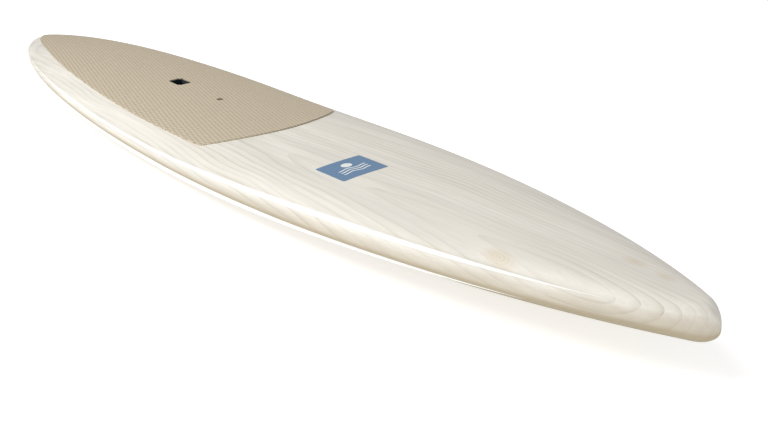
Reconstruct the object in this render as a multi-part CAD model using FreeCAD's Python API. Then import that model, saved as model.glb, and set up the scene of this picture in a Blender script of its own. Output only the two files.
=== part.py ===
import FreeCAD, Part
import math
import os

# A stand up paddleboard with a moulded foam core, a wood-veneer sandwich skin and a soft deck pad.
# Frame: +X towards the nose, +Y to port, +Z up. The origin is on the floor under mid-length.

V = FreeCAD.Vector
UP = V(0, 0, 1)

# ---- Driving dimensions, in mm ----
LENGTH = 4267.0
WIDTH = 728.0
THICKNESS = 177.0
NOSE_THICKNESS = 97.0
TAIL_THICKNESS = 38.0
NOSE_ROCKER = 109.0
TAIL_ROCKER = 60.0
WIDEST_AT = 0.45          # share of the length from the tail
SKIN = 4.0                # veneer, glass and foam sandwich
STRINGER_THICKNESS = 5.0
BOND_LINE = 1.2           # glass and glue between the skins and the foam

PAD_THICKNESS = 5.0
PAD_MARGIN = 84.0         # bare deck between the pad and the rail
PAD_TAIL_MARGIN = 50.0    # and behind the pad, at the tail
PAD_TAIL_START = 1500.0   # distance behind mid-length at which the margin starts to shrink
PAD_FRONT_X = 345.0
PAD_FRONT_RADIUS = 345.0
PAD_CORNER_RADIUS = 26.0

HANDLE_X = -494.0
HANDLE_LENGTH = 96.0
HANDLE_WIDTH = 54.0
HANDLE_DEPTH = 48.0
VENT_X = -152.0
BADGE_CENTRE = V(837.0, -79.0, 0)
BADGE_LENGTH = 156.0
BADGE_WIDTH = 164.0
BADGE_THICKNESS = 0.8
FIN_BOX_X = -1720.0
FIN_BOX_LENGTH = 272.0

# ---- Shape constants of the hull ----
HALF = LENGTH / 2
TIP_FLAT = 1.0            # the tip blocks stop this far short of each tip
TIP_ROUNDING = 56.0       # length over which each tip rounds off
TIP_BLOCK = 34.0          # length of the solid block at each tip
BODY_END = HALF - TIP_BLOCK
NOSE_PLAN = (2.25, 0.71)
TAIL_PLAN = (1.8, 0.54)
NOSE_ROCKER_POWER = 1.69
TAIL_ROCKER_POWER = 3.45
FOIL_POWER = 3.5
APEX = 0.45               # height of the rail's widest line, as a share of the thickness
DOME_TAIL = 2.05          # superellipse exponent of the deck's section, tail and mid
DOME_NOSE = 3.0           # and at the nose, where the deck is flatter
BOTTOM_POWER = 2.3
STATIONS = 38
SECTION_POINTS = 22

os.makedirs("parts", exist_ok=True)


# ---- The hull's lines ----
def plan_half_width(x):
    """Half the board's width at station x."""
    u = (x + HALF) / LENGTH
    if u > WIDEST_AT:
        s, (p, q) = (u - WIDEST_AT) / (1 - WIDEST_AT), NOSE_PLAN
    else:
        s, (p, q) = (WIDEST_AT - u) / WIDEST_AT, TAIL_PLAN
    return WIDTH / 2 * max(1 - s ** p, 0) ** q


def bottom_height(x):
    """Height of the bottom's centreline: flat amidships, with rocker at both ends."""
    s = abs(x) / HALF
    if x > 0:
        return NOSE_ROCKER * s ** NOSE_ROCKER_POWER
    return TAIL_ROCKER * s ** TAIL_ROCKER_POWER


def foil_thickness(x):
    """Thickness on the centreline before the tips are rounded off."""
    end = NOSE_THICKNESS if x > 0 else TAIL_THICKNESS
    return end + (THICKNESS - end) * (1 - (abs(x) / HALF) ** FOIL_POWER)


def tip_factor(x):
    """Rounds the thickness off to nothing at each tip."""
    run = min((HALF - abs(x)) / TIP_ROUNDING, 1)
    return math.sqrt(max(1 - (1 - run) ** 2, 0))


def apex_height(x):
    return bottom_height(x) + APEX * foil_thickness(x)


def dome_power(x):
    """Exponent of the deck's section, blended from the standing area to the nose."""
    t = min(max(((x + HALF) / LENGTH - 0.42) / 0.35, 0), 1)
    return DOME_TAIL + (DOME_NOSE - DOME_TAIL) * t * t * (3 - 2 * t)


def deck_height(x, y=0.0):
    rise = (1 - APEX) * foil_thickness(x) * tip_factor(x)
    power = dome_power(x)
    return apex_height(x) + rise * (1 - min(abs(y) / plan_half_width(x), 1) ** power) ** (1 / power)


def arc_points(x, upper, inset):
    """Points of the upper or lower half of a section, from port to starboard."""
    half_width = plan_half_width(x) - inset
    share = (1 - APEX) if upper else APEX
    rise = share * foil_thickness(x) * tip_factor(x) - inset
    power = dome_power(x) if upper else BOTTOM_POWER
    points = []
    for i in range(SECTION_POINTS + 1):
        angle = math.pi * i / SECTION_POINTS
        c, s = math.cos(angle), math.sin(angle)
        y = half_width * math.copysign(abs(c) ** (2 / power), c)
        z = rise * abs(s) ** (2 / power) * (1 if upper else -1)
        points.append(V(x, y, apex_height(x) + z))
    return points


def arc_edge(x, upper, inset):
    """One half of a section as a smooth curve that stands upright at the rails."""
    points = arc_points(x, upper, inset)
    parameters = [i / SECTION_POINTS for i in range(SECTION_POINTS + 1)]
    pull = (points[1].z - points[0].z) * SECTION_POINTS
    curve = Part.BSplineCurve()
    curve.interpolate(Points=points, Parameters=parameters,
                      InitialTangent=V(0, 0, pull), FinalTangent=V(0, 0, -pull))
    return curve.toShape()


def stations():
    """Stations between the tip blocks, from tail to nose, closer together towards the tips."""
    return [-BODY_END * math.cos(math.pi * i / STATIONS) for i in range(STATIONS + 1)]


def ends(arc):
    return arc.Vertexes[0].Point, arc.Vertexes[-1].Point


def half_hull(upper):
    """The solid above or below the rail's widest line, without the tip blocks."""
    wires = []
    for x in stations():
        arc = arc_edge(x, upper, 0.0)
        port, starboard = ends(arc)
        wires.append(Part.Wire([arc, Part.makeLine(starboard, port)]))
    return Part.makeLoft(wires, True)


def half_skin(upper):
    """The skin above or below the rail's widest line, from rail to rail."""
    wires = []
    for x in stations():
        outer, inner = arc_edge(x, upper, 0.0), arc_edge(x, upper, SKIN)
        port, starboard = ends(outer)
        inner_port, inner_starboard = ends(inner)
        wires.append(Part.Wire([outer, Part.makeLine(starboard, inner_starboard), inner,
                                Part.makeLine(inner_port, port)]))
    return Part.makeLoft(wires, True)


def whole_section(x, inset):
    return Part.Wire([arc_edge(x, True, inset), arc_edge(x, False, inset)])


def tip_block(side):
    """The solid block that closes the skins at the nose (side 1) or the tail (side -1)."""
    steps = 6
    span = TIP_BLOCK - TIP_FLAT
    offsets = [TIP_BLOCK - span * math.sin(math.pi / 2 * i / steps) for i in range(steps + 1)]
    return Part.makeLoft([whole_section(side * (HALF - offset), 0.0) for offset in offsets], True)


# ---- Small helpers ----
def box(centre, length, width, low, high):
    return Part.makeBox(length, width, high - low, V(centre.x - length / 2, centre.y - width / 2, low))


def rounded_box(centre, length, width, low, high, radius):
    """A box whose four upright edges are rounded."""
    solid = box(centre, length, width, low, high)
    upright = [e for e in solid.Edges if abs(e.Vertexes[0].Z - e.Vertexes[-1].Z) > 0.5 * (high - low)]
    return solid.makeFillet(radius, upright)


def cylinder(x, y, low, high, radius):
    return Part.makeCylinder(radius, high - low, V(x, y, low))


def save(name, shape):
    """Writes one node, after checking that it is made of closed, valid solids."""
    solids = shape.Solids
    assert solids and all(s.isValid() and s.Volume > 0 for s in solids), name
    result = solids[0] if len(solids) == 1 else Part.makeCompound(solids)
    result.exportStep("parts/" + name + ".step")
    print("%-24s %2d solid(s) %12.1f mm3" % (name, len(solids), result.Volume))


# ---- Hull ----
deck_half = half_hull(True)
bottom_half = half_hull(False)
core = Part.makeLoft([whole_section(x, SKIN + BOND_LINE) for x in stations()], True)
deck_shell = half_skin(True)
hull_shell = half_skin(False)


# ---- Recessed carrying handle ----
# A moulded cup is bonded into the deck. Its mouth is narrow and its well is wider, so that the lip along
# each side is the grip; a soft lining covers the port lip.
handle_centre = V(HANDLE_X, 0, 0)
handle_deck = deck_height(HANDLE_X)
CUP_WALL = 3.0
CUP_FLANGE = 15.0
FLANGE_THICKNESS = 3.0
LIP_DEPTH = 15.0
UNDERCUT = 14.0
GRIP_LENGTH = 70.0
MOUTH_RADIUS = 14.0

mouth = rounded_box(handle_centre, HANDLE_LENGTH, HANDLE_WIDTH,
                    handle_deck - HANDLE_DEPTH, handle_deck + 20, MOUTH_RADIUS)
well = rounded_box(handle_centre, HANDLE_LENGTH, HANDLE_WIDTH + 2 * UNDERCUT,
                   handle_deck - HANDLE_DEPTH, handle_deck - LIP_DEPTH, MOUTH_RADIUS)
cup_body = rounded_box(handle_centre, HANDLE_LENGTH + 2 * CUP_WALL, HANDLE_WIDTH + 2 * UNDERCUT + 2 * CUP_WALL,
                       handle_deck - HANDLE_DEPTH - CUP_WALL, handle_deck - LIP_DEPTH + CUP_WALL,
                       MOUTH_RADIUS + CUP_WALL)
cup_neck = rounded_box(handle_centre, HANDLE_LENGTH + 2 * CUP_WALL, HANDLE_WIDTH + 2 * CUP_WALL,
                       handle_deck - LIP_DEPTH, handle_deck + 20, MOUTH_RADIUS + CUP_WALL)
cup_flange = rounded_box(handle_centre, HANDLE_LENGTH + 2 * CUP_FLANGE, HANDLE_WIDTH + 2 * CUP_FLANGE,
                         handle_deck - FLANGE_THICKNESS, handle_deck + 20, MOUTH_RADIUS + CUP_FLANGE)
cup_envelope = cup_body.fuse(cup_neck).fuse(cup_flange)
deck_trim = deck_half.common(box(handle_centre, 400, 400, handle_deck - 100, handle_deck + 50))
cup_solid = cup_envelope.common(deck_trim)
handle_cup = cup_solid.cut(mouth).cut(well)

# The lining wraps the edge of the port lip and stays clear of the pad above it.
grip_y = HANDLE_WIDTH / 2
GRIP_THICKNESS = 2.5
grip_outer = box(V(HANDLE_X, grip_y, 0), GRIP_LENGTH, 2 * GRIP_THICKNESS,
                 handle_deck - LIP_DEPTH, handle_deck - FLANGE_THICKNESS)
handle_grip = grip_outer.common(mouth)

HANDLE_BLOCK = 40.0       # high-density foam around the cup
block_width = HANDLE_WIDTH + 2 * UNDERCUT + 2 * HANDLE_BLOCK
block_envelope = box(handle_centre, HANDLE_LENGTH + 2 * HANDLE_BLOCK, block_width,
                     handle_deck - HANDLE_DEPTH - 22, handle_deck + 20)
handle_block = block_envelope.common(core).cut(cup_envelope)


# ---- Air vent ----
# A threaded insert is bonded into the deck. A slotted screw closes it on an O-ring, over a breathable disc.
vent_deck = deck_height(VENT_X)
VENT_FLANGE_RADIUS = 13.0
VENT_BODY_RADIUS = 9.5
VENT_DEPTH = 22.0
VENT_THREAD_RADIUS = 5.0
VENT_SEAT_RADIUS = 10.5
VENT_SEAT_DEPTH = 4.0
VENT_SCREW_RADIUS = 10.0
VENT_SCREW_LENGTH = 9.0
VENT_CLEARANCE = 0.08
ORING_SECTION = 1.6
ORING_RADIUS = 7.2
SEAL_GAP = 0.05
PASSAGE_RADIUS = 2.5

vent_envelope = cylinder(VENT_X, 0, vent_deck - 5, vent_deck + 20, VENT_FLANGE_RADIUS)
vent_envelope = vent_envelope.fuse(cylinder(VENT_X, 0, vent_deck - VENT_DEPTH, vent_deck, VENT_BODY_RADIUS))
vent_trim = deck_half.common(box(V(VENT_X, 0, 0), 100, 100, vent_deck - 60, vent_deck + 50))
vent_solid = vent_envelope.common(vent_trim)
seat_level = vent_deck - VENT_SEAT_DEPTH
thread_end = seat_level - VENT_SCREW_LENGTH
membrane_level = vent_deck - VENT_DEPTH + 4
vent_insert = vent_solid.cut(cylinder(VENT_X, 0, seat_level, vent_deck + 20, VENT_SEAT_RADIUS))
vent_insert = vent_insert.cut(cylinder(VENT_X, 0, membrane_level, vent_deck, VENT_THREAD_RADIUS))
vent_insert = vent_insert.cut(cylinder(VENT_X, 0, vent_deck - VENT_DEPTH - 5, vent_deck, PASSAGE_RADIUS))
vent_membrane = cylinder(VENT_X, 0, membrane_level, membrane_level + 0.8, VENT_THREAD_RADIUS)

# The O-ring lies on the seat around the screw's shank, and the screw's head presses on it.
seal_level = seat_level + ORING_SECTION / 2 + SEAL_GAP
vent_seal = Part.makeTorus(ORING_RADIUS, ORING_SECTION / 2, V(VENT_X, 0, seal_level))
head_level = seal_level + ORING_SECTION / 2 + SEAL_GAP
vent_screw = cylinder(VENT_X, 0, head_level, vent_deck - 0.3, VENT_SCREW_RADIUS)
vent_screw = vent_screw.fuse(cylinder(VENT_X, 0, thread_end, head_level, VENT_THREAD_RADIUS - VENT_CLEARANCE))
slot = box(V(VENT_X, 0, 0), 14.0, 2.4, vent_deck - 1.6, vent_deck + 5)
vent_screw = vent_screw.cut(slot).removeSplitter()


# ---- Fin box ----
# A long moulded channel, let into the bottom flush and in line with the rocker. A fin's roller pin and screw
# plate run in the grooves of its side walls.
FIN_BOX_WIDTH = 27.0
FIN_BOX_DEPTH = 30.0
FIN_SLOT_WIDTH = 9.8
FIN_SLOT_LENGTH = 252.0
FIN_SLOT_DEPTH = 26.0
GROOVE_WIDTH = 15.0
GROOVE_HEIGHT = 4.6
GROOVE_LEVEL = 9.0        # from the bottom face up to the groove's lower side
FIN_BLOCK = 22.0

rear, front = FIN_BOX_X - FIN_BOX_LENGTH / 2, FIN_BOX_X + FIN_BOX_LENGTH / 2
box_tilt = math.degrees(math.atan2(bottom_height(rear) - bottom_height(front), FIN_BOX_LENGTH))
box_level = (bottom_height(rear) + bottom_height(front)) / 2


def place_in_box(shape):
    """Moves a shape from the fin box's own frame, with z = 0 on its bottom face, to the board."""
    placed = shape.copy()
    placed.rotate(V(0, 0, 0), V(0, 1, 0), box_tilt)
    placed.translate(V(FIN_BOX_X, 0, box_level))
    return placed


zero = V(0, 0, 0)
fin_envelope = place_in_box(rounded_box(zero, FIN_BOX_LENGTH, FIN_BOX_WIDTH, -20, FIN_BOX_DEPTH, 8))
fin_slot = place_in_box(rounded_box(zero, FIN_SLOT_LENGTH, FIN_SLOT_WIDTH, -20, FIN_SLOT_DEPTH, 4))
fin_groove = place_in_box(box(zero, FIN_SLOT_LENGTH - 12, GROOVE_WIDTH,
                              GROOVE_LEVEL, GROOVE_LEVEL + GROOVE_HEIGHT))
fin_trim = bottom_half.common(box(V(FIN_BOX_X, 0, 0), 600, 300, -50, 150))
fin_box = fin_envelope.common(fin_trim).cut(fin_slot).cut(fin_groove)
fin_block_envelope = place_in_box(box(zero, FIN_BOX_LENGTH + 2 * FIN_BLOCK, FIN_BOX_WIDTH + 2 * FIN_BLOCK,
                                      -20, FIN_BOX_DEPTH + FIN_BLOCK / 2))
fin_block = fin_block_envelope.common(core).cut(fin_envelope)

# The plate slides in the grooves, and the screw is threaded through it.
PLATE_LENGTH = 14.0
PLATE_WIDTH = 14.4
PLATE_THICKNESS = 4.0
PLATE_X = 96.0
SCREW_RADIUS = 2.4
SCREW_HEAD_RADIUS = 4.4
SCREW_HEAD_HEIGHT = 2.6
SCREW_LENGTH = 14.5
plate_level = GROOVE_LEVEL + (GROOVE_HEIGHT - PLATE_THICKNESS) / 2
plate = box(V(PLATE_X, 0, 0), PLATE_LENGTH, PLATE_WIDTH, plate_level, plate_level + PLATE_THICKNESS)
plate = plate.cut(cylinder(PLATE_X, 0, -5, 30, SCREW_RADIUS + 0.05))
screw_top = plate_level + PLATE_THICKNESS + 3
screw = cylinder(PLATE_X, 0, screw_top - SCREW_LENGTH, screw_top, SCREW_RADIUS)
screw_head = cylinder(PLATE_X, 0, screw_top - SCREW_LENGTH, screw_top - SCREW_LENGTH + SCREW_HEAD_HEIGHT,
                      SCREW_HEAD_RADIUS)
screw_slot = box(V(PLATE_X, 0, 0), 12, 1.2, screw_top - SCREW_LENGTH - 1, screw_top - SCREW_LENGTH + 1.2)
fin_plate = place_in_box(plate)
fin_screw = place_in_box(screw.fuse(screw_head).cut(screw_slot).removeSplitter())


# ---- Skins, stringer and foam, with their pockets ----
deck_skin = deck_shell.cut(cup_envelope).cut(vent_envelope)
hull_skin = hull_shell.cut(fin_envelope)
pockets = [cup_envelope, vent_envelope, fin_envelope, block_envelope, fin_block_envelope]
slab = Part.makeBox(LENGTH, STRINGER_THICKNESS, 600, V(-HALF, -STRINGER_THICKNESS / 2, -100))
port_space = Part.makeBox(LENGTH, WIDTH, 600, V(-HALF, STRINGER_THICKNESS / 2, -100))
starboard_space = Part.makeBox(LENGTH, WIDTH, 600, V(-HALF, -WIDTH - STRINGER_THICKNESS / 2, -100))
stringer = core.common(slab)
core_port = core.common(port_space)
core_starboard = core.common(starboard_space)
for pocket in pockets:
    stringer = stringer.cut(pocket)
    core_port = core_port.cut(pocket)
    core_starboard = core_starboard.cut(pocket)


# ---- Deck pad ----
def pad_margin(x):
    """The pad's margin, which shrinks towards the tail."""
    tail_share = max(0, (-x - PAD_TAIL_START) / (HALF - PAD_TAIL_START))
    return PAD_MARGIN - (PAD_MARGIN - PAD_TAIL_MARGIN) * tail_share ** 2


def inset_outline():
    """Points of the starboard side of the board's outline, moved inwards by the margin, tail to nose."""
    points = []
    step = 1.0
    for i in range(1, 200):
        x = -HALF + (HALF + PAD_FRONT_X + 200) * (i / 200) ** 2
        slope = (plan_half_width(x + step) - plan_half_width(x - step)) / (2 * step)
        scale = pad_margin(x) / math.hypot(1, slope)
        px, py = x + slope * scale, plan_half_width(x) - scale
        if py > 0 and (not points or px > points[-1].x + 12):
            points.append(V(px, -py, 0))
    return points


def pad_outline():
    """The pad's outline: parallel to the rails, round at the tail, with an arc as its front edge."""
    centre_x = PAD_FRONT_X - PAD_FRONT_RADIUS
    side = [p for p in inset_outline()
            if p.x < 0 or math.hypot(p.x - centre_x, p.y) < PAD_FRONT_RADIUS]
    corner_y = side[-1].y
    corner = V(centre_x + math.sqrt(PAD_FRONT_RADIUS ** 2 - corner_y ** 2), corner_y, 0)
    tail = V(side[0].x - 3.0, 0, 0)
    starboard = [tail] + side[::4] + [corner]
    port = [V(p.x, -p.y, 0) for p in reversed(starboard)]
    rail = Part.BSplineCurve()
    rail.interpolate(Points=port[:-1] + starboard)
    front = Part.Arc(corner, V(PAD_FRONT_X, 0, 0), V(corner.x, -corner.y, 0))
    return Part.Wire([rail.toShape(), front.toShape()])


pad_prism = Part.Face(pad_outline()).extrude(UP * 500)
corner_edges = [e for e in pad_prism.Edges
                if abs(e.Vertexes[0].Z - e.Vertexes[-1].Z) > 400 and abs(e.Vertexes[0].Y) > 50]
pad_prism = pad_prism.makeFillet(PAD_CORNER_RADIUS, corner_edges)
raised_deck = deck_half.copy()
raised_deck.translate(UP * PAD_THICKNESS)
deck_pad = raised_deck.common(pad_prism).cut(deck_half)
deck_pad = deck_pad.cut(rounded_box(handle_centre, HANDLE_LENGTH + 4, HANDLE_WIDTH + 4,
                                    handle_deck - 40, handle_deck + 40, MOUTH_RADIUS + 2))
deck_pad = deck_pad.cut(cylinder(VENT_X, 0, vent_deck - 40, vent_deck + 40, VENT_FLANGE_RADIUS + 0.5))

# ---- Badge ----
badge_prism = rounded_box(BADGE_CENTRE, BADGE_LENGTH, BADGE_WIDTH, 0, 500, 5)
badge_deck = deck_half.copy()
badge_deck.translate(UP * BADGE_THICKNESS)
deck_badge = badge_deck.common(badge_prism).cut(deck_half)

save("deck_skin", deck_skin)
save("hull_skin", hull_skin)
save("nose_block", tip_block(1))
save("tail_block", tip_block(-1))
save("foam_core_port", core_port)
save("foam_core_starboard", core_starboard)
save("stringer", stringer)
save("handle_block", handle_block)
save("handle_cup", handle_cup)
save("handle_grip", handle_grip)
save("vent_insert", vent_insert)
save("vent_membrane", vent_membrane)
save("vent_seal", vent_seal)
save("vent_screw", vent_screw)
save("fin_box_block", fin_block)
save("fin_box", fin_box)
save("fin_plate", fin_plate)
save("fin_screw", fin_screw)
save("deck_pad", deck_pad)
save("deck_badge", deck_badge)
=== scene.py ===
import math

import bmesh
import bpy
import numpy as np
from mathutils import Matrix, Vector


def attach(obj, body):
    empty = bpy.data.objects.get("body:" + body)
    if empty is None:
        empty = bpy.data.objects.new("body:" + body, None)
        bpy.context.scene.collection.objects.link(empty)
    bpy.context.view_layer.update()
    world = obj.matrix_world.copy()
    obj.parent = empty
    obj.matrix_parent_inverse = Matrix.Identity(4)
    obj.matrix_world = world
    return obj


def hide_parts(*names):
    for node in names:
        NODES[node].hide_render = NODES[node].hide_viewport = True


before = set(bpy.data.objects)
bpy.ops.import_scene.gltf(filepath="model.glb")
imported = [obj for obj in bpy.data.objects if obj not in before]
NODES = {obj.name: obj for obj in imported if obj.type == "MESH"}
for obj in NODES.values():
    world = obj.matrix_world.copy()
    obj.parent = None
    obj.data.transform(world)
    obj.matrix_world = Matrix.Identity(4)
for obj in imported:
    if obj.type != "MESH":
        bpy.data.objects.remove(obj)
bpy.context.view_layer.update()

# ---- The board's lines, as in the CAD ----
LENGTH, WIDTH, THICKNESS = 4.267, 0.728, 0.177
NOSE_THICKNESS, TAIL_THICKNESS = 0.097, 0.038
NOSE_ROCKER, TAIL_ROCKER = 0.109, 0.060
HALF = LENGTH / 2
WIDEST_AT = 0.45
TIP_ROUNDING = 0.056
TIP_BLOCK = 0.034
APEX = 0.45                         # height of the rail's edge, as a share of the thickness
UNDERSIDE_POWER = 2.3
PAD_THICKNESS = 0.005
PAD_MARGIN, PAD_TAIL_MARGIN, PAD_TAIL_START = 0.084, 0.050, 1.5
PAD_FRONT = 0.345
HANDLE_X, HANDLE_LENGTH, HANDLE_WIDTH = -0.494, 0.096, 0.054
VENT_X, VENT_RADIUS = -0.152, 0.013


def half_width(x):
    u = (np.asarray(x, float) + HALF) / LENGTH
    ahead = np.clip((u - WIDEST_AT) / (1 - WIDEST_AT), 0, 1)
    behind = np.clip((WIDEST_AT - u) / WIDEST_AT, 0, 1)
    nose = (1 - ahead ** 2.25) ** 0.71
    tail = (1 - behind ** 1.8) ** 0.54
    return WIDTH / 2 * np.where(u > WIDEST_AT, nose, tail)


def foil(x):
    end = np.where(x > 0, NOSE_THICKNESS, TAIL_THICKNESS)
    return end + (THICKNESS - end) * (1 - (np.abs(x) / HALF) ** 3.5)


def apex_height(x):
    s = np.abs(x) / HALF
    bottom = np.where(x > 0, NOSE_ROCKER * s ** 1.69, TAIL_ROCKER * s ** 3.45)
    return bottom + APEX * foil(x)


def tip_factor(x):
    run = np.minimum((HALF - np.abs(x)) / TIP_ROUNDING, 1)
    return np.sqrt(np.clip(1 - (1 - run) ** 2, 0, 1))


def dome_power(x):
    t = np.clip(((np.asarray(x, float) + HALF) / LENGTH - 0.42) / 0.35, 0, 1)
    return 2.05 + 0.95 * t * t * (3 - 2 * t)


def deck_height(x, y):
    """Height of the deck at x, y."""
    x, y = np.asarray(x, float), np.asarray(y, float)
    power = dome_power(x)
    across = np.clip(np.abs(y) / np.maximum(half_width(x), 1e-6), 0, 1)
    return apex_height(x) + (1 - APEX) * foil(x) * tip_factor(x) * (1 - across ** power) ** (1 / power)


# ---- Mesh helpers ----
def mesh_object(name, points, faces):
    mesh = bpy.data.meshes.new(name)
    mesh.from_pydata([tuple(p) for p in points], [], [tuple(f) for f in faces])
    mesh.validate()
    mesh.shade_smooth()
    obj = bpy.data.objects.new(name, mesh)
    bpy.context.scene.collection.objects.link(obj)
    return obj


def grid_faces(rows, columns):
    a = np.arange(rows - 1)[:, None] * columns + np.arange(columns - 1)[None, :]
    return np.stack([a, a + 1, a + columns + 1, a + columns], -1).reshape(-1, 4)


def keep_used(points, faces, normals):
    """Drops the points that no face uses."""
    used, inverse = np.unique(faces, return_inverse=True)
    return points[used], inverse.reshape(faces.shape), normals[used]


def drop_skirt(obj, height, merge=False):
    """Hangs a skirt from the open rim of a sheet. height gives the new height of each of its points."""
    bm = bmesh.new()
    bm.from_mesh(obj.data)
    if merge:
        bmesh.ops.remove_doubles(bm, verts=bm.verts, dist=1e-6)
    rim = [e for e in bm.edges if e.is_boundary]
    for v in bmesh.ops.extrude_edge_only(bm, edges=rim)["geom"]:
        if isinstance(v, bmesh.types.BMVert):
            v.co.z = height(v.co)
    bmesh.ops.recalc_face_normals(bm, faces=bm.faces)
    bm.to_mesh(obj.data)
    bm.free()
    obj.data.shade_smooth()
    obj.data.set_sharp_from_angle(angle=math.radians(50))


# ---- Hull: one smooth surface, split into the deck's skin, the hull's skin and the two tips ----
STATIONS, ACROSS, CURVE_SAMPLES = 420, 72, 600
END_GAP = 0.0002                    # how far short of the ends the first and last stations stop
FIN_X, FIN_HALF_LENGTH, FIN_HALF_WIDTH = -1.720, 0.133, 0.0105
HANDLE_HOLE = (0.051, 0.030)        # half length and half width of the holes in the deck's skin
VENT_HOLE = (0.0136, 0.0136)
RIM_HALF_LENGTH, RIM_HALF_WIDTH, RIM_LIFT = 0.16, 0.03, 0.0003


def hull_stations():
    """Stations closer together at the tips, with some exactly at the pieces' ends and the fin box's ends."""
    coarse = -HALF * np.cos(np.linspace(0.0, math.pi, STATIONS))
    coarse[0], coarse[-1] = -HALF + END_GAP, HALF - END_GAP
    exact = [-HALF + TIP_BLOCK, HALF - TIP_BLOCK, FIN_X - FIN_HALF_LENGTH, FIN_X + FIN_HALF_LENGTH]
    free = [x for x in coarse if min(abs(x - e) for e in exact) > 0.002]
    return np.array(sorted(free + exact))


def half_section(x, upper):
    """One half of a section, from port to starboard, in even steps along the curve."""
    power = float(dome_power(x)) if upper else UNDERSIDE_POWER
    share = (1 - APEX) if upper else APEX
    rise = share * float(foil(x)) * float(tip_factor(x))
    angle = np.linspace(0, math.pi / 2, CURVE_SAMPLES)
    y = float(half_width(x)) * np.cos(angle) ** (2 / power)
    z = rise * np.sin(angle) ** (2 / power)
    along = np.concatenate([[0], np.cumsum(np.hypot(np.diff(y), np.diff(z)))])
    wanted = np.linspace(0, along[-1], ACROSS // 2 + 1)
    if not upper and FIN_X - 0.25 < x < FIN_X + 0.25:
        mark = np.interp(-FIN_HALF_WIDTH, -y, along)
        wanted = np.concatenate([np.linspace(0, mark, ACROSS // 2 - 1), np.linspace(mark, along[-1], 3)[1:]])
    side = np.stack([np.interp(wanted, along, y), np.interp(wanted, along, z)], 1)
    other = side[-2::-1] * [-1, 1]
    section = np.concatenate([side, other])
    section[:, 1] *= 1 if upper else -1
    return section + [0, float(apex_height(x))]


def hull_grid():
    """All the sections as closed rings: rows are stations, columns run over the deck and back underneath."""
    xs = hull_stations()
    rings = []
    for x in xs:
        top, under = half_section(x, True), half_section(x, False)
        ring = np.concatenate([top, under[-2::-1]])
        rings.append(np.column_stack([np.full(len(ring), x), ring]))
    return xs, np.array(rings)


def outward(points, faces, normals):
    """The faces wound so that each one looks the way its points' normals do."""
    a, b, c, d = (points[faces[:, i]] for i in range(4))
    facing = np.sum(np.cross(c - a, d - b) * normals[faces].sum(1), 1)
    return np.where((facing < 0)[:, None], faces[:, ::-1], faces)


def ring_normals(grid):
    along = np.gradient(grid, axis=0)
    closed = np.concatenate([grid[:, -2:-1], grid, grid[:, 1:2]], 1)
    across = (closed[:, 2:] - closed[:, :-2]) / 2
    normal = np.cross(across, along)
    length = np.linalg.norm(normal, axis=2, keepdims=True)
    normal = normal / np.maximum(length, 1e-12)
    away = grid - np.array([0, 0, 1]) * apex_height(grid[..., :1])
    away[..., 0] = 0
    flip = np.sign(np.sum(normal * away, 2, keepdims=True))
    return normal * np.where(flip == 0, 1, flip)


def hull_pieces():
    xs, grid = hull_grid()
    normals = ring_normals(grid)
    normals[0], normals[-1] = (-1, 0, 0), (1, 0, 0)
    rows, columns = grid.shape[:2]
    points, flat = grid.reshape(-1, 3), normals.reshape(-1, 3)
    faces = grid_faces(rows, columns)
    row = faces[:, 0] // columns
    column = faces[:, 0] % columns
    low, high = points[faces].min(1), points[faces].max(1)
    tail = xs[row + 1] <= -HALF + TIP_BLOCK + 1e-9
    nose = xs[row] >= HALF - TIP_BLOCK - 1e-9
    upper = column < ACROSS

    def over(cx, half_length, half_wide):
        lengthways = (high[:, 0] > cx - half_length) & (low[:, 0] < cx + half_length)
        return lengthways & (high[:, 1] > -half_wide) & (low[:, 1] < half_wide)

    inset = 1e-5
    handle = over(HANDLE_X, *HANDLE_HOLE) & upper
    vent = over(VENT_X, *VENT_HOLE) & upper
    fin = over(FIN_X, FIN_HALF_LENGTH - inset, FIN_HALF_WIDTH - inset) & ~upper
    hole = handle | vent | fin
    # The skin stands a hair proud of the fin box's rim, so that the two never lie in one plane.
    rim = (np.abs(points[:, 0] - FIN_X) < RIM_HALF_LENGTH) & (np.abs(points[:, 1]) < RIM_HALF_WIDTH)
    rim &= flat[:, 2] < 0
    points = points + flat * np.where(rim, RIM_LIFT, 0.0)[:, None]
    made = []
    for name, mask, node in (
        ("deck_shell", upper & ~tail & ~nose & ~hole, "deck_skin"),
        ("hull_shell", ~upper & ~tail & ~nose & ~hole, "hull_skin"),
        ("nose_tip", nose, "nose_block"),
        ("tail_tip", tail, "tail_block"),
    ):
        p, f, n = keep_used(points, outward(points, faces[mask], flat), flat)
        obj = mesh_object(name, p, f)
        obj.data.normals_split_custom_set_from_vertices([tuple(v) for v in n])
        if name.endswith("tip"):
            close_tip(obj)
        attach(obj, "board")
        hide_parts(node)
        made.append(obj)
    return made


def close_tip(obj):
    """Closes the pinhole at the very end of a tip."""
    bm = bmesh.new()
    bm.from_mesh(obj.data)
    end = max(abs(v.co.x) for v in bm.verts)
    edges = [e for e in bm.edges if e.is_boundary and all(abs(abs(v.co.x) - end) < 1e-6 for v in e.verts)]
    bmesh.ops.holes_fill(bm, edges=edges, sides=0)
    bm.to_mesh(obj.data)
    bm.free()
    obj.data.shade_smooth()


# ---- Deck pad ----
PAD_STEP = 0.0030
PAD_ACROSS = 300
GROOVE_X, GROOVE_Y = 15.0, 71.0     # cycles per metre of the two crossing groove families
GROOVE_SHARE = 0.20
GROOVE_DEPTH = 0.0016


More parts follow.
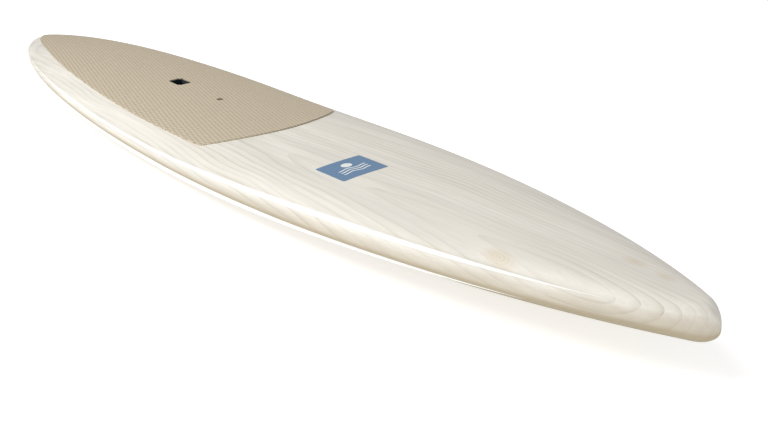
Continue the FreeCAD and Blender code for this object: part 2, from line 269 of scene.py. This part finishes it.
def pad_side():
    """The pad's side: the board's outline moved inwards by the margin, as x and half width from the tail."""
    t = np.linspace(0, 1, 1500)[1:]
    x = -HALF + (HALF + PAD_FRONT + 0.2) * t ** 2
    step = 0.0005
    slope = (half_width(x + step) - half_width(x - step)) / (2 * step)
    tail_share = np.maximum(0, (-x - PAD_TAIL_START) / (HALF - PAD_TAIL_START))
    scale = (PAD_MARGIN - (PAD_MARGIN - PAD_TAIL_MARGIN) * tail_share ** 2) / np.hypot(1, slope)
    px, py = x + slope * scale, half_width(x) - scale
    good = py > 0
    px, py = px[good], py[good]
    order = np.argsort(px)
    px, py = px[order], py[order]
    return np.concatenate([[px[0] - 0.003], px]), np.concatenate([[0.0], py])


def rounded_rectangle(x, y, cx, length, width, radius):
    """Signed distance from a rounded rectangle, negative inside."""
    dx = np.abs(x - cx) - length / 2 + radius
    dy = np.abs(y) - width / 2 + radius
    outside = np.hypot(np.maximum(dx, 0), np.maximum(dy, 0))
    return outside + np.minimum(np.maximum(dx, dy), 0) - radius


def pad_holes(x, y):
    handle = rounded_rectangle(x, y, HANDLE_X, HANDLE_LENGTH + 0.004, HANDLE_WIDTH + 0.004, 0.016)
    vent = np.hypot(x - VENT_X, y) - VENT_RADIUS - 0.0005
    return np.minimum(handle, vent)


def groove_line(phase):
    """1 at the middle of a groove, falling to 0 at its edges."""
    near = np.abs(phase - np.round(phase)) / (GROOVE_SHARE / 2)
    return np.clip(1.6 * (1 - near), 0, 1)


def make_pad():
    side_x, side_y = pad_side()
    tail = side_x[0]
    run = PAD_FRONT - tail
    u = np.arange(0, 1 + 1e-9, PAD_STEP / run)
    head = 0.03
    rows_x = tail + np.concatenate([head * np.linspace(0.02, 1, 24)[:-1] ** 2, head + u * (run - head)])
    t = np.linspace(-1, 1, PAD_ACROSS)
    corner = 0.012
    # Where each line from tail to front meets the front edge's arc.
    probe = np.linspace(0.05, PAD_FRONT, 1200)
    probe_width = np.interp(probe, side_x, side_y)
    ends = np.empty(len(t))
    for i, value in enumerate(t):
        y = value * probe_width
        inside = probe ** 2 + y ** 2 <= PAD_FRONT ** 2
        ends[i] = probe[inside][-1] if inside.any() else probe[0]
    width_there = np.interp(ends, side_x, side_y)
    into = np.clip(np.abs(t) * width_there - (width_there - corner), 0, corner)
    ends = ends - (corner - np.sqrt(np.clip(corner ** 2 - into ** 2, 0, None)))
    x = tail + (rows_x[:, None] - tail) / run * (ends[None, :] - tail)
    y = t[None, :] * np.interp(x, side_x, side_y)
    rows, columns = x.shape
    faces = grid_faces(rows, columns)
    hole = pad_holes(x, y)
    keep = (hole.reshape(-1)[faces] > 0).any(1)
    # Points just inside a hole are moved out to its edge.
    step = 1e-5
    gx = (pad_holes(x + step, y) - pad_holes(x - step, y)) / (2 * step)
    gy = (pad_holes(x, y + step) - pad_holes(x, y - step)) / (2 * step)
    move = np.where(hole < 0, -hole, 0)
    snap = np.zeros(x.size, bool)
    snap[np.unique(faces[keep])] = True
    move = np.where(snap.reshape(x.shape), move, 0)
    x, y = x + gx * move, y + gy * move
    edge = np.minimum(np.maximum(hole, 0), 0.02)
    border = np.minimum((1 - np.abs(t))[None, :] * np.interp(x, side_x, side_y), ends[None, :] - x)
    border = np.minimum(border, x - tail)
    edge = np.minimum(edge, np.maximum(border, 0))
    groove = np.maximum(groove_line(GROOVE_X * x + GROOVE_Y * y), groove_line(GROOVE_X * x - GROOVE_Y * y))
    inside_rim = np.clip((edge - 0.004) / 0.002, 0, 1)
    rounding = 0.0014 * (1 - np.clip(edge / 0.003, 0, 1)) ** 2
    z = deck_height(x, y) + PAD_THICKNESS - GROOVE_DEPTH * groove * inside_rim - rounding
    points = np.stack([x, y, z], -1).reshape(-1, 3)
    p, f, _ = keep_used(points, faces[keep], points)
    obj = mesh_object("deck_pad_foam", p, f)
    drop_skirt(obj, lambda at: float(deck_height(at.x, at.y)) - 0.0003, merge=True)
    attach(obj, "board")
    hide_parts("deck_pad")
    return obj


# ---- Badge ----
BADGE_X, BADGE_Y, BADGE_LENGTH, BADGE_WIDTH = 0.837, -0.079, 0.156, 0.164


def make_badge():
    """A thin film with rounded corners that lies on the deck."""
    count = 40
    radius = 0.005
    t = np.linspace(-1, 1, count)
    gx, gy = np.meshgrid(t * BADGE_LENGTH / 2, t * BADGE_WIDTH / 2, indexing="ij")
    dx = np.abs(gx) - BADGE_LENGTH / 2 + radius
    dy = np.abs(gy) - BADGE_WIDTH / 2 + radius
    in_corner = (dx > 0) & (dy > 0)
    reach = np.where(in_corner, np.hypot(dx, dy), 1)
    shrink = np.where(in_corner & (reach > radius), radius / reach, 1)
    x = np.sign(gx) * (np.abs(gx) - np.where(in_corner, dx * (1 - shrink), 0)) + BADGE_X
    y = np.sign(gy) * (np.abs(gy) - np.where(in_corner, dy * (1 - shrink), 0)) + BADGE_Y
    points = np.stack([x, y, deck_height(x, y) + 0.0008], -1).reshape(-1, 3)
    obj = mesh_object("badge_film", points, grid_faces(count, count))
    drop_skirt(obj, lambda at: at.z - 0.0009)
    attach(obj, "board")
    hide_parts("deck_badge")
    return obj


# ---- Materials ----
class Nodes:
    """A small wrapper for building one material's node tree."""

    def __init__(self, name):
        self.material = bpy.data.materials.new(name)
        self.material.use_nodes = True
        self.tree = self.material.node_tree
        self.shader = self.tree.nodes["Principled BSDF"]
        self.position = self.add("ShaderNodeTexCoord").outputs["Object"]

    def add(self, kind, **settings):
        node = self.tree.nodes.new(kind)
        for key, value in settings.items():
            setattr(node, key, value)
        return node

    def put(self, socket, value):
        if isinstance(value, bpy.types.NodeSocket):
            self.tree.links.new(value, socket)
        elif isinstance(value, tuple) and len(value) == 3 and socket.type == "RGBA":
            socket.default_value = (*value, 1.0)
        else:
            socket.default_value = value

    def math(self, operation, a, b=0.0, c=0.0, clamp=False):
        node = self.add("ShaderNodeMath", operation=operation, use_clamp=clamp)
        for socket, value in zip(node.inputs, (a, b, c)):
            self.put(socket, value)
        return node.outputs[0]

    def length(self, *parts):
        squares = [self.math("MULTIPLY", part, part) for part in parts]
        total = squares[0]
        for square in squares[1:]:
            total = self.math("ADD", total, square)
        return self.math("SQRT", total)

    def stretched(self, scale):
        node = self.add("ShaderNodeVectorMath", operation="MULTIPLY")
        self.put(node.inputs[0], self.position)
        self.put(node.inputs[1], scale)
        return node.outputs[0]

    def noise(self, scale, detail=3.0, roughness=0.55):
        node = self.add("ShaderNodeTexNoise")
        self.put(node.inputs["Vector"], self.stretched(scale))
        self.put(node.inputs["Scale"], 1.0)
        self.put(node.inputs["Detail"], detail)
        self.put(node.inputs["Roughness"], roughness)
        return node.outputs["Fac"]

    def mix(self, factor, a, b):
        node = self.add("ShaderNodeMix", data_type="RGBA")
        self.put(node.inputs["Factor"], factor)
        self.put(node.inputs[6], a)
        self.put(node.inputs[7], b)
        return node.outputs[2]

    def steps(self, value, low, high, to_low=0.0, to_high=1.0):
        node = self.add("ShaderNodeMapRange")
        for socket, item in zip(node.inputs, (value, low, high, to_low, to_high)):
            self.put(socket, item)
        return node.outputs[0]

    def axes(self):
        node = self.add("ShaderNodeSeparateXYZ")
        self.put(node.inputs[0], self.position)
        return node.outputs

    def bump(self, height, strength=0.2, distance=0.001):
        node = self.add("ShaderNodeBump")
        self.put(node.inputs["Strength"], strength)
        self.put(node.inputs["Distance"], distance)
        self.put(node.inputs["Height"], height)
        self.put(self.shader.inputs["Normal"], node.outputs[0])

    def finish(self, **values):
        for name, value in values.items():
            self.put(self.shader.inputs[name.replace("_", " ")], value)
        return self.material


# Each knot's x, y and size. The first two lie near the nose. The last one is invented.
KNOTS = ((1.867, 0.024, 0.024), (1.962, 0.018, 0.020), (1.60, -0.17, 0.030), (-1.32, 0.24, 0.014))
RINGS_PER_METRE = 62.0


def wood(name, pale, line, shade):
    """Whitewashed veneer: long grain, arched figure around one axis, pale streaks, a few small knots, and
    painted shade on the faces that look down.
    """
    n = Nodes(name)
    x, y, z = n.axes()
    warp = n.math("SUBTRACT", n.noise((1.1, 3.0, 3.0), 2.0), 0.5)
    fine_warp = n.math("SUBTRACT", n.noise((3.5, 14.0, 14.0), 2.0), 0.5)
    # Rings around a tilted axis cut the surface in nested arches that open towards the nose.
    across = n.math("MULTIPLY_ADD", warp, 0.10, n.math("ADD", y, 0.135))
    across = n.math("MULTIPLY_ADD", fine_warp, 0.012, across)
    along = n.math("MULTIPLY", n.math("SUBTRACT", x, 2.9), 0.034)
    depth = n.math("MULTIPLY", n.math("SUBTRACT", z, 0.2), 0.9)
    ring = n.length(across, along, depth)
    phase = n.math("FRACT", n.math("MULTIPLY", ring, RINGS_PER_METRE))
    edge = n.math("POWER", phase, 4.0)
    strength = n.steps(n.noise((0.8, 9.0, 9.0), 3.0), 0.30, 0.60)
    grain = n.math("MULTIPLY", edge, strength)
    streaks = n.steps(n.noise((0.9, 26.0, 26.0), 4.0, 0.6), 0.44, 0.70)
    broad = n.steps(n.noise((0.45, 4.5, 4.5), 2.0), 0.35, 0.65)
    fibre = n.steps(n.noise((9.0, 420.0, 420.0), 2.0, 0.6), 0.35, 0.72)
    colour = n.mix(n.math("MULTIPLY", broad, 0.45), pale, shade)
    colour = n.mix(n.math("MULTIPLY", grain, 0.80), colour, line)
    colour = n.mix(n.math("MULTIPLY", streaks, 0.55), colour, (0.90, 0.88, 0.82))
    colour = n.mix(n.math("MULTIPLY", fibre, 0.16), colour, line)
    threads = n.steps(n.noise((2.0, 85.0, 85.0), 3.0, 0.6), 0.42, 0.66)
    colour = n.mix(n.math("MULTIPLY", threads, 0.30), colour, (0.66, 0.62, 0.54))
    grey = n.steps(n.noise((0.7, 17.0, 17.0), 3.0, 0.6), 0.50, 0.72)
    colour = n.mix(n.math("MULTIPLY", grey, 0.40), colour, (0.60, 0.59, 0.55))
    for kx, ky, size in KNOTS:
        dx = n.math("MULTIPLY", n.math("SUBTRACT", x, kx), 0.45)
        dy = n.math("SUBTRACT", y, ky)
        away = n.math("MULTIPLY_ADD", fine_warp, size * 0.8, n.length(dx, dy))
        knot = n.steps(away, size * 0.9, size * 0.25)
        heart = n.math("ABSOLUTE", n.math("SINE", n.math("MULTIPLY", away, 520.0)))
        colour = n.mix(n.math("MULTIPLY", knot, 0.55), colour, (0.60, 0.49, 0.33))
        colour = n.mix(n.math("MULTIPLY", n.math("MULTIPLY", knot, heart), 0.22), colour, (0.92, 0.89, 0.82))
    # Painted shade: faces that look down are darkened by their normal, standing in for the shade under the
    # board. The first step is also warmer, a guess that less whitewash reached the underside.
    facing = n.add("ShaderNodeNewGeometry").outputs["Normal"]
    up = n.add("ShaderNodeSeparateXYZ")
    n.put(up.inputs[0], facing)
    underside_tint_and_shade = n.steps(up.outputs["Z"], 0.30, -0.25)
    colour = n.mix(n.math("MULTIPLY", underside_tint_and_shade, 0.80), colour, (0.40, 0.325, 0.205))
    # Painted shade: faces that look steeply down are darkened further still.
    underside_shade = n.steps(up.outputs["Z"], -0.20, -0.75)
    colour = n.mix(n.math("MULTIPLY", underside_shade, 0.50), colour, (0.24, 0.212, 0.135))
    coat = n.steps(up.outputs["Z"], -0.2, 0.4, 0.02, 0.14)
    shine = n.steps(up.outputs["Z"], -0.2, 0.4, 0.10, 0.32)
    n.bump(n.math("ADD", grain, n.math("MULTIPLY", fibre, 0.4)), 0.06, 0.0006)
    return n.finish(Base_Color=colour, Roughness=0.55, Coat_Weight=coat, Coat_Roughness=0.34,
                    Specular_IOR_Level=shine)


def plain(name, colour, rough, speckle=0.15, scale=900.0, metallic=0.0, bump=0.15, coat=0.0):
    """A moulded or machined finish with a fine grain in its colour, roughness and surface."""
    n = Nodes(name)
    grain = n.noise((scale, scale, scale), 3.0)
    wear = n.noise((18.0, 18.0, 18.0), 4.0)
    dark = tuple(c * (1 - speckle) for c in colour)
    light = tuple(min(c * (1 + speckle), 1) for c in colour)
    tone = n.mix(n.steps(grain, 0.35, 0.65), dark, light)
    tone = n.mix(n.math("MULTIPLY", wear, 0.25), tone, dark)
    n.bump(grain, bump, 0.0002)
    roughness = n.steps(wear, 0.3, 0.7, rough * 0.85, min(rough * 1.15, 1))
    return n.finish(Base_Color=tone, Roughness=roughness, Metallic=metallic, Coat_Weight=coat)


def foam_pad():
    """Tan closed-cell foam: matt, finely mottled, with painted shade darkening the grooves."""
    n = Nodes("pad_foam")
    x, y, _ = n.axes()
    cells = n.noise((700.0, 700.0, 700.0), 3.0)
    mottle = n.noise((30.0, 30.0, 30.0), 3.0)
    groove = None
    for sign in (1.0, -1.0):
        phase = n.math("MULTIPLY_ADD", y, sign * GROOVE_Y, n.math("MULTIPLY", x, GROOVE_X))
        off = n.math("ABSOLUTE", n.math("SUBTRACT", phase, n.math("ROUND", phase)))
        line = n.steps(off, GROOVE_SHARE * 0.50, GROOVE_SHARE * 0.22)
        groove = line if groove is None else n.math("ADD", groove, line)
    tone = n.mix(n.steps(cells, 0.3, 0.7), (0.500, 0.432, 0.326), (0.565, 0.494, 0.385))
    tone = n.mix(n.math("MULTIPLY", mottle, 0.2), tone, (0.48, 0.41, 0.305))
    # Painted shade: the grooves are darkened as if in shadow.
    tone = n.mix(n.math("MULTIPLY", groove, 0.62, clamp=True), tone, (0.27, 0.22, 0.14))
    n.bump(cells, 0.3, 0.0003)
    return n.finish(Base_Color=tone, Roughness=0.85, Specular_IOR_Level=0.25)


def badge_material():
    """Blue film with a generic mark: pale wave lines under a disc."""
    n = Nodes("badge_film")
    x, y, _ = n.axes()
    u = n.math("DIVIDE", n.math("SUBTRACT", x, BADGE_X), BADGE_LENGTH / 2)
    v = n.math("DIVIDE", n.math("SUBTRACT", y, BADGE_Y), BADGE_WIDTH / 2)
    inside = n.math("LESS_THAN", n.math("ABSOLUTE", v), 0.62)
    mark = None
    for level in (0.42, 0.22, 0.02):
        wave = n.math("MULTIPLY_ADD", n.math("SINE", n.math("MULTIPLY", v, 8.5)), 0.05, level)
        line = n.math("LESS_THAN", n.math("ABSOLUTE", n.math("SUBTRACT", u, wave)), 0.035)
        line = n.math("MULTIPLY", line, inside)
        mark = line if mark is None else n.math("MAXIMUM", mark, line)
    du = n.math("ADD", u, 0.36)
    disc = n.math("LESS_THAN", n.math("ADD", n.math("MULTIPLY", du, du), n.math("MULTIPLY", v, v)), 0.048)
    mark = n.math("MAXIMUM", mark, disc)
    weave = n.noise((1500.0, 1500.0, 1500.0), 2.0)
    blue = n.mix(weave, (0.100, 0.195, 0.335), (0.130, 0.240, 0.395))
    colour = n.mix(mark, blue, (0.80, 0.82, 0.80))
    n.bump(weave, 0.05, 0.0001)
    return n.finish(Base_Color=colour, Roughness=0.45, Coat_Weight=0.2)


def assign(obj, material):
    obj.data.materials.clear()
    obj.data.materials.append(material)


deck, hull, nose_tip, tail_tip = hull_pieces()
pad = make_pad()
badge = make_badge()

veneer = wood("veneer", (0.80, 0.765, 0.695), (0.50, 0.46, 0.38), (0.72, 0.68, 0.60))
assign(deck, veneer)
assign(hull, veneer)
assign(nose_tip, veneer)
assign(tail_tip, veneer)
assign(pad, foam_pad())
assign(badge, badge_material())

foam = plain("core_foam", (0.88, 0.88, 0.85), 0.9, 0.06, 260.0, bump=0.4)
dense = plain("dense_foam", (0.74, 0.67, 0.52), 0.9, 0.08, 500.0, bump=0.3)
cup = plain("cup_plastic", (0.012, 0.018, 0.026), 0.22, 0.2, 600.0, bump=0.03, coat=0.6)
vent = plain("vent_plastic", (0.115, 0.112, 0.075), 0.45, 0.2, 900.0)
black = plain("fin_box_plastic", (0.030, 0.031, 0.034), 0.5, 0.25, 800.0)
rubber = plain("grip_rubber", (0.028, 0.030, 0.034), 0.75, 0.2, 700.0, bump=0.3)
seal = plain("seal_rubber", (0.018, 0.018, 0.018), 0.6, 0.2, 700.0)
brass = plain("fin_brass", (0.70, 0.54, 0.25), 0.3, 0.06, 700.0, metallic=1.0)
steel = plain("fin_steel", (0.62, 0.62, 0.63), 0.28, 0.05, 700.0, metallic=1.0)
cloth = plain("membrane", (0.82, 0.82, 0.82), 0.9, 0.1, 1200.0)
ply = plain("stringer_wood", (0.55, 0.42, 0.27), 0.7, 0.15, 120.0)
BY_NODE = {
    "foam_core_port": foam, "foam_core_starboard": foam, "handle_block": dense, "fin_box_block": dense,
    "handle_cup": cup, "handle_grip": rubber, "vent_insert": vent, "vent_screw": vent, "vent_seal": seal,
    "vent_membrane": cloth, "fin_box": black, "fin_plate": brass, "fin_screw": steel, "stringer": ply,
}
for node, material in BY_NODE.items():
    assign(NODES[node], material)

# ---- Floor, light and camera ----
FLOOR_REACH, FLOOR_DROP = 60, 0.0015
FLOOR_GLOW = 0.62                   # the floor gives off light of its own, which whitens the background
WORLD_STRENGTH = 0.42
CAMERA_PLACE, LENS, SENSOR_WIDTH = (3.3629, -1.7457, 1.324), 49.7, 36.0

floor_mesh = bpy.data.meshes.new("floor")
corners = [(x * FLOOR_REACH, y * FLOOR_REACH, 0) for x, y in ((-1, -1), (1, -1), (1, 1), (-1, 1))]
floor_mesh.from_pydata(corners, [], [(0, 1, 2, 3)])
floor = bpy.data.objects.new("floor", floor_mesh)
bpy.context.scene.collection.objects.link(floor)
floor.location.z = -FLOOR_DROP
floor_look = Nodes("floor_look")
floor_tone = floor_look.mix(floor_look.noise((2.0, 2.0, 2.0)), (0.70, 0.70, 0.70), (0.72, 0.72, 0.72))
assign(floor, floor_look.finish(Base_Color=floor_tone, Roughness=0.9, Emission_Color=(1.0, 1.0, 1.0),
                                Emission_Strength=FLOOR_GLOW))


def area_light(name, place, target, size, watts, colour=(1, 1, 1)):
    data = bpy.data.lights.new(name, "AREA")
    data.shape = "RECTANGLE"
    data.size, data.size_y = size
    data.energy = watts
    data.color = colour
    lamp = bpy.data.objects.new(name, data)
    lamp.location = place
    direction = Vector(target) - Vector(place)
    lamp.rotation_euler = direction.to_track_quat("-Z", "Y").to_euler()
    bpy.context.scene.collection.objects.link(lamp)


world = bpy.data.worlds.new("studio")
bpy.context.scene.world = world
world.use_nodes = True
world.node_tree.nodes["Background"].inputs["Color"].default_value = (1.0, 1.0, 1.0, 1.0)
world.node_tree.nodes["Background"].inputs["Strength"].default_value = WORLD_STRENGTH
area_light("overhead", (-0.5, -2.5, 4.2), (-0.2, 0.0, 0.0), (5.0, 3.0), 195.0)
area_light("side", (2.0, -5.0, 3.0), (0.0, 0.0, 0.1), (4.0, 1.6), 34.0, (1.0, 0.98, 0.95))

camera_data = bpy.data.cameras.new("camera")
camera_data.lens = LENS
camera_data.sensor_width = SENSOR_WIDTH
camera_data.clip_end = 200.0
camera = bpy.data.objects.new("camera", camera_data)
azimuth, elevation, roll = math.radians(54.88), math.radians(23.43), math.radians(-3.02)
back = Vector((math.sin(azimuth) * math.cos(elevation), -math.cos(azimuth) * math.cos(elevation),
               math.sin(elevation)))
level = Vector((math.cos(azimuth), math.sin(azimuth), 0))
upright = back.cross(level)
right = math.cos(roll) * level + math.sin(roll) * upright
up = back.cross(right)
turn = Matrix((right, up, back)).transposed().to_4x4()
camera.matrix_world = Matrix.Translation(CAMERA_PLACE) @ turn
bpy.context.scene.collection.objects.link(camera)
bpy.context.scene.camera = camera
bpy.context.scene.view_settings.view_transform = "Standard"
